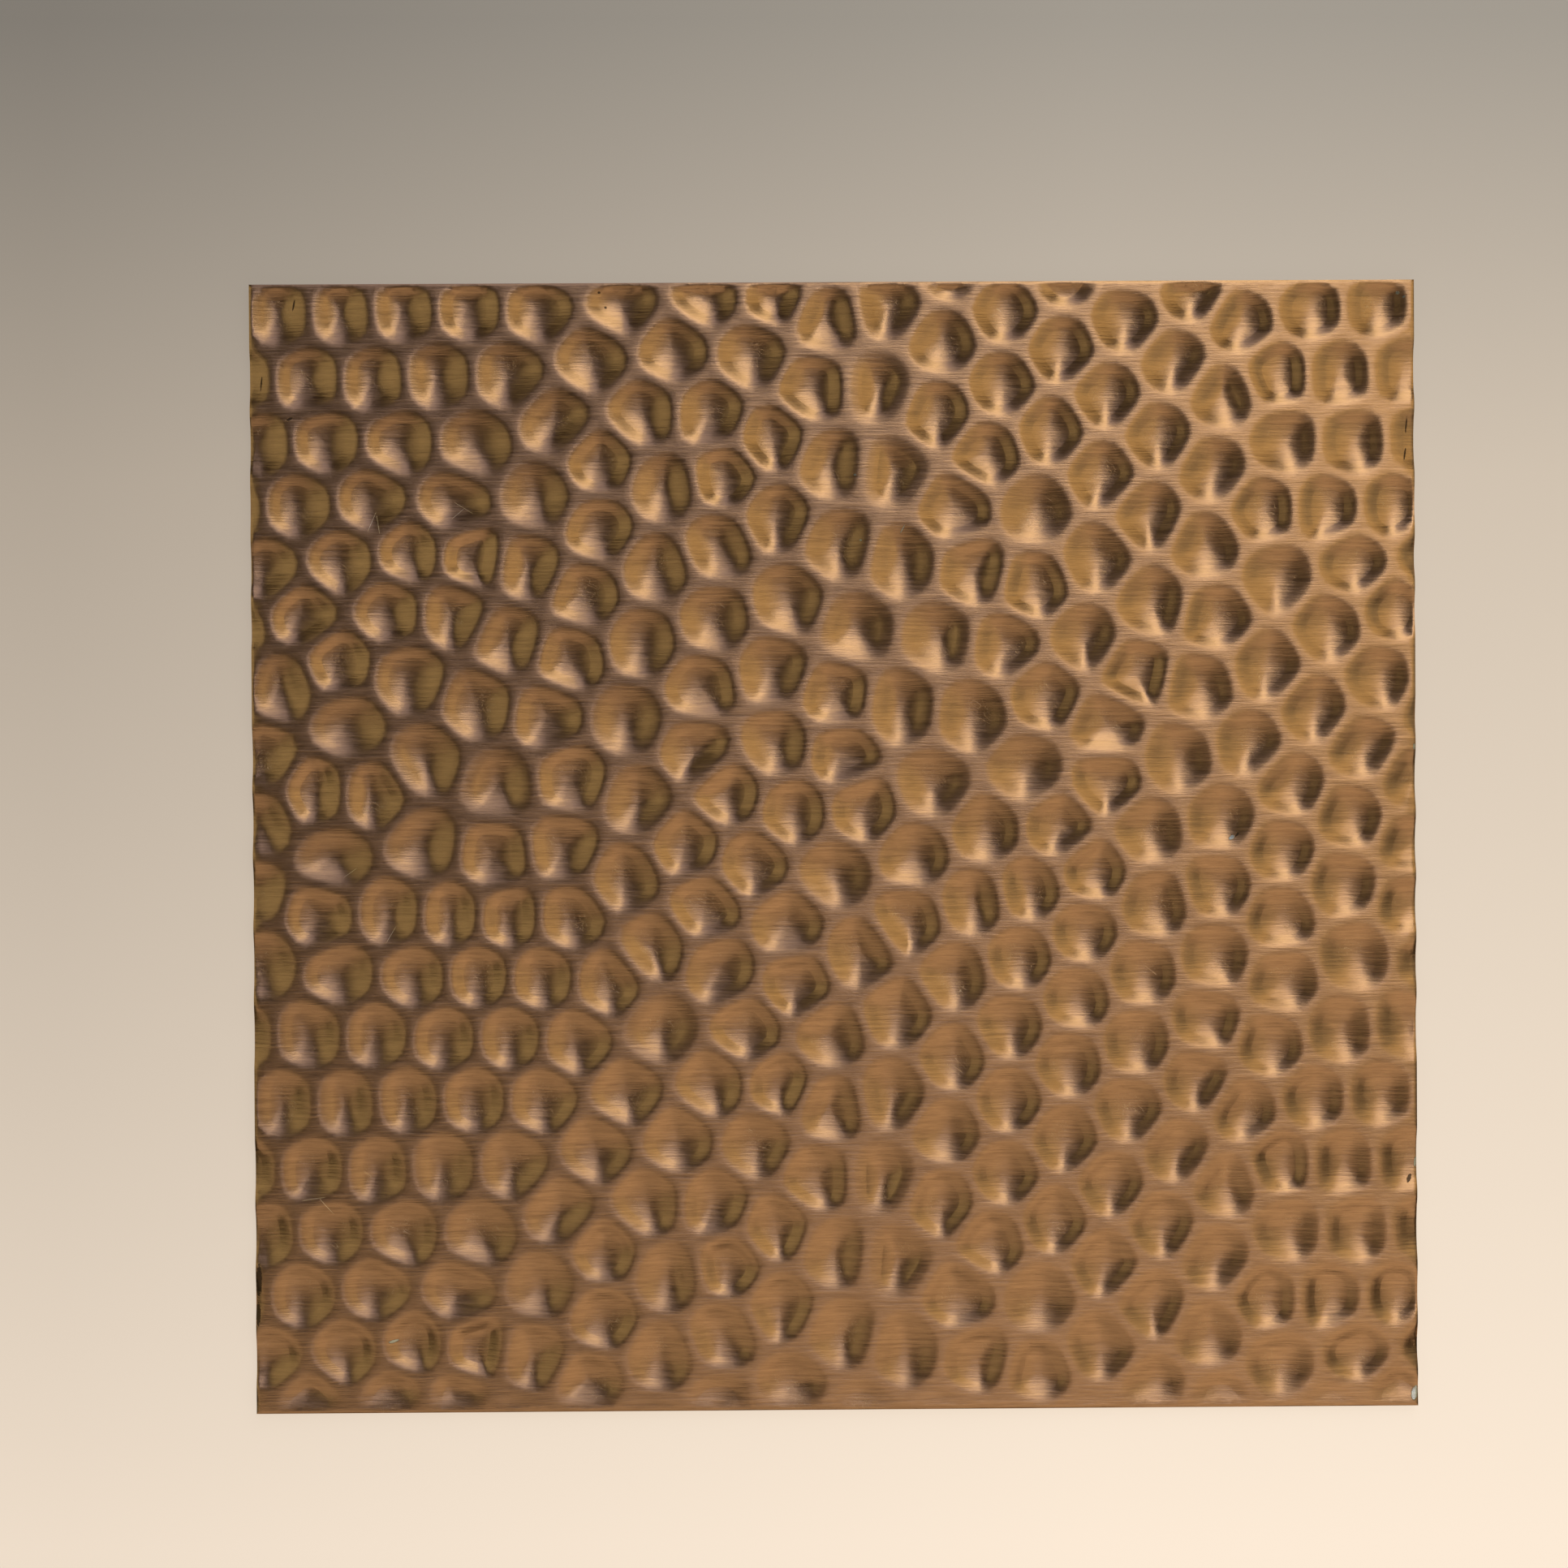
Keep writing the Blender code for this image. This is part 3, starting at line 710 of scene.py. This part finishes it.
cutEdge = {
    "steel": "8E8A84",
    "steelDeep": "6E6A64",
    "dragPitch": 0.22,      # mm between the lines that the blade dragged down the edge
    "dragDepth": 0.02,
    "tornDepth": 0.015,
    "roughness": (0.34, 0.55),
    "smearSize": (3.0, 3.0, 0.9),
    "smearShare": 0.8,
}


def shearedSteel():
    # the cut edge: bare steel with drag lines down it, rougher and duller in torn patches, and
    # bronze smeared over from the coating
    material, tree, shader = newMaterial("shearedSteel")
    place = addNode(tree, "ShaderNodeTexCoord").outputs["Object"]
    drag = noise(tree, place, (cutEdge["dragPitch"], cutEdge["dragPitch"], 2.5), 3.0, 1.3)
    torn = noise(tree, place, (0.5, 0.5, 0.2), 3.0, 5.9)
    smeared = ramp(tree, noise(tree, place, cutEdge["smearSize"], 3.0, 8.3), 0.42, 0.56)
    tone = blend(tree, ramp(tree, drag, 0.35, 0.65), hexColour(cutEdge["steelDeep"]),
                 hexColour(cutEdge["steel"]))
    tone = blend(tree, maths(tree, "MULTIPLY", smeared, cutEdge["smearShare"]), tone,
                 hexColour(steel["bronzeDeep"]))
    tree.links.new(tone, shader.inputs["Base Color"])
    tree.links.new(ramp(tree, torn, 0.3, 0.7, *cutEdge["roughness"]), shader.inputs["Roughness"])
    height = maths(tree, "ADD", maths(tree, "MULTIPLY", drag, cutEdge["dragDepth"] * mm),
                   maths(tree, "MULTIPLY", torn, cutEdge["tornDepth"] * mm))
    bump = addNode(tree, "ShaderNodeBump", {"Height": height, "Strength": 1.0, "Distance": 1.0})
    tree.links.new(bump.outputs[0], shader.inputs["Normal"])
    shader.inputs["Metallic"].default_value = 1.0
    return material


sheetPiece = pressSheet({
    "Front Finish": bronzeHairlineSteel("bronzeHairlineSteel", worn=False),
    "Worn Finish": bronzeHairlineSteel("bronzeHairlineSteelWorn", worn=True),
    "Back Finish": bronzeMillSteel(),
    "Edge Finish": shearedSteel(),
})
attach(sheetPiece, "root")
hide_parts("embossed_sheet")


# ---- floor, lamps and camera

studio = {
    "floorSize": 3.0,           # m
    # the floor's own pale tone at the near end, then painted shade that darkens it further off
    "floorToneWithPaintedFalloff": [(-90, "F6E4CF"), (48, "CBBCAA"), (107, "9F978C")],  # mm up the floor
    "leftShade": (0.11, 0.37),  # painted shade: how much darker it is on the left, at the near and far end
    "shadeFrom": (35, -100),    # mm across, where that begins and where it is full
    "glow": 0.8,                # share of the floor's look that doesn't come from the lamps
    "glowStrength": 1.15,
    "floorRoughness": 0.9,
    "airTone": "FFD9BB",        # what little light comes from all round
    "airStrength": 0.02,
}


def layFloor():
    # a pale table, with painted shade that darkens it away from the near edge and towards the left;
    # a part of its tone comes from the lamps, so it keeps the sheet's shadow
    mesh = bpy.data.meshes.new("floor")
    half = studio["floorSize"] / 2
    mesh.from_pydata([(-half, -half, 0), (half, -half, 0), (half, half, 0), (-half, half, 0)],
                     [], [(0, 1, 2, 3)])
    floor = bpy.data.objects.new("floor", mesh)
    bpy.context.scene.collection.objects.link(floor)
    material, tree, shader = newMaterial("paleFloor")
    place = addNode(tree, "ShaderNodeTexCoord").outputs["Object"]
    across = addNode(tree, "ShaderNodeSeparateXYZ", {0: place}).outputs
    (low, near), (middle, mid), (high, far) = studio["floorToneWithPaintedFalloff"]
    # painted shade: the tone darkens from the near end to the far end
    tone = blend(tree, ramp(tree, across["Y"], low * mm, middle * mm), hexColour(near),
                 hexColour(mid))
    tone = blend(tree, ramp(tree, across["Y"], middle * mm, high * mm), tone, hexColour(far))
    # painted shade: darker towards the left, more so at the far end, blended towards black
    begin, full = studio["shadeFrom"]
    shade = maths(tree, "MULTIPLY", ramp(tree, across["X"], begin * mm, full * mm),
                  ramp(tree, across["Y"], low * mm, high * mm, *studio["leftShade"]))
    tone = blend(tree, shade, tone, hexColour("000000"))
    tree.links.new(tone, shader.inputs["Base Color"])
    shader.inputs["Roughness"].default_value = studio["floorRoughness"]
    shader.inputs["Specular IOR Level"].default_value = 0.0
    seen = addNode(tree, "ShaderNodeLightPath").outputs
    rays = maths(tree, "ADD", seen["Is Camera Ray"],
                 maths(tree, "ADD", seen["Is Glossy Ray"], seen["Is Transmission Ray"]),
                 clamp=True)
    glow = addNode(tree, "ShaderNodeEmission", {"Color": tone, "Strength": studio["glowStrength"]})
    mixed = addNode(tree, "ShaderNodeMixShader",
                    {0: maths(tree, "MULTIPLY", rays, studio["glow"]), 1: shader.outputs[0],
                     2: glow.outputs[0]})
    tree.links.new(mixed.outputs[0], tree.nodes["Material Output"].inputs["Surface"])
    mesh.materials.append(material)


def skyDirection(azimuth, elevation):
    # as seen from the sheet: azimuth to the right, elevation up the photo
    a, e = math.radians(azimuth), math.radians(elevation)
    return Vector((math.sin(a) * math.cos(e), math.sin(e), math.cos(a) * math.cos(e)))


# each lamp by where it stands: degrees right and up of the camera and metres off, its width and
# height in degrees as seen from the sheet, how bright its face is with 1 as white, its colour
lamps = {
    "key": {"azimuth": 16.5, "elevation": 46, "distance": 0.5, "wide": 12.5, "high": 46,
            "level": 3.60, "tone": "F2FFFE"},
    "skirt": {"azimuth": 37, "elevation": 20, "distance": 0.3, "wide": 24, "high": 44,
              "level": 1.00, "tone": "FFF5C1"},
    "window": {"azimuth": 8.6, "elevation": 17.8, "distance": 2.5, "wide": 10.5, "high": 33,
               "level": 3.69, "tone": "B6C7FF"},
    "bounce": {"azimuth": 3.6, "elevation": -43.4, "distance": 0.3, "wide": 90, "high": 41,
               "level": 0.86, "tone": "FFFCFC"},
    "right": {"azimuth": 62.5, "elevation": 13.5, "distance": 0.25, "wide": 42, "high": 91,
              "level": 0.59, "tone": "F0FFFC"},
    "left": {"azimuth": -74, "elevation": 12, "distance": 0.4, "wide": 40, "high": 95,
             "level": 0.84, "tone": "F0FFED"},
    "valance": {"azimuth": -4.7, "elevation": 48, "distance": 1.75, "wide": 17, "high": 46,
                "level": 1.95, "tone": "AFC0FF"},
    "lowRight": {"azimuth": 23, "elevation": -27, "distance": 0.25, "wide": 40, "high": 65,
                 "level": 0.31, "tone": "FFF5EB"},
}


def hangLamps():
    for name, lamp in lamps.items():
        distance = lamp["distance"]
        data = bpy.data.lights.new(name, "AREA")
        data.shape = "RECTANGLE"
        data.size = 2 * distance * math.tan(math.radians(lamp["wide"] / 2))
        data.size_y = 2 * distance * math.tan(math.radians(lamp["high"] / 2))
        # level is the brightness of the lamp's face, 1 as white
        data.energy = lamp["level"] * math.pi * data.size * data.size_y
        data.color = hexColour(lamp["tone"])[:3]
        holder = bpy.data.objects.new(name, data)
        bpy.context.scene.collection.objects.link(holder)
        towards = skyDirection(lamp["azimuth"], lamp["elevation"])
        holder.location = towards * distance
        holder.rotation_euler = towards.to_track_quat("Z", "Y").to_euler()
        holder.visible_camera = False


def setWorld():
    world = bpy.data.worlds.new("studio")
    bpy.context.scene.world = world
    world.use_nodes = True
    sky = world.node_tree.nodes["Background"].inputs
    sky["Color"].default_value = hexColour(studio["airTone"])
    sky["Strength"].default_value = studio["airStrength"]


camera = {
    "spot": (-11.2, 13.1, 476.0),       # mm from the middle of the sheet's underside
    "turn": (-0.597, -0.563, -0.324),   # degrees
    "pixelsPerMm": 9.55,                # in the photo's 1932 pixels, at the sheet
    "frame": 1932,
    "distance": 475.0,                  # mm, camera to sheet
    "sensor": 36.0,                     # mm
    "clipStart": 0.01,                  # m
}


def placeCamera():
    data = bpy.data.cameras.new("camera")
    data.sensor_width = camera["sensor"]
    data.lens = camera["sensor"] * camera["pixelsPerMm"] * camera["distance"] / camera["frame"]
    data.clip_start = camera["clipStart"]
    holder = bpy.data.objects.new("camera", data)
    bpy.context.scene.collection.objects.link(holder)
    holder.location = Vector(camera["spot"]) * mm
    holder.rotation_euler = [math.radians(v) for v in camera["turn"]]
    bpy.context.scene.camera = holder


layFloor()
hangLamps()
setWorld()
placeCamera()
bpy.context.scene.view_settings.view_transform = "Standard"
print("floor, lamps and camera placed")
